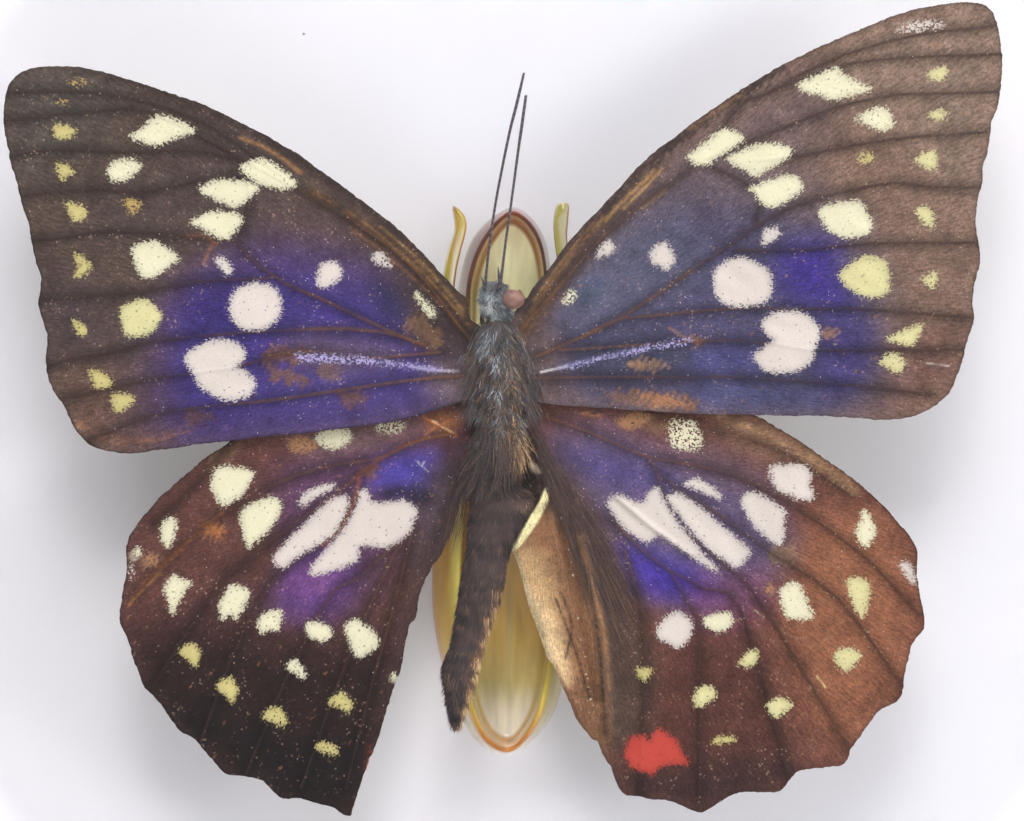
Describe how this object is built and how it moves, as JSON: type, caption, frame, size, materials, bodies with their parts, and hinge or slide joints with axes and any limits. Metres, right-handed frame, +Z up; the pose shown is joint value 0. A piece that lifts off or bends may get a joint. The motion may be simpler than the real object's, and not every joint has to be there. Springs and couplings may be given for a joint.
{
  "type": "insect in glass dome",
  "caption": "Spread purple emperor butterfly on a clear cradle over white card, under a low glass dome on a turned wooden base.",
  "frame": {"origin": "middle of the base's underside, on the dome's axis", "axes": "+Z up out of the dome's top, +Y towards the butterfly's head, +X towards its right-hand wings as seen from above"},
  "size_m": [0.164, 0.164, 0.06],
  "materials": {
    "base_wood": "satin varnish",
    "backing_card": "matt white card",
    "dome_glass": "clear blown glass",
    "cradle_plastic": "clear, yellowed",
    "body": "hairy dried cuticle",
    "eye": "dull dried eye",
    "antenna": "dark dried cuticle",
    "forewing": "scaled wing, brown, purple and cream",
    "hindwing": "scaled wing, brown, purple and cream"
  },
  "bodies": {
    "root": {"base": "base_wood", "backing": "backing_card", "dome": "dome_glass", "cradle": "cradle_plastic", "thorax": "body", "head": "body", "abdomen": "body", "eye_left": "eye", "eye_right": "eye", "palp_left": "body", "palp_right": "body", "antenna_left": "antenna", "antenna_right": "antenna", "leg_mid_left": "body", "leg_mid_right": "body", "leg_hind_left": "body", "leg_hind_right": "body", "forewing_left": "forewing", "forewing_right": "forewing", "hindwing_left": "hindwing", "hindwing_right": "hindwing"}
  },
  "joints": []
}
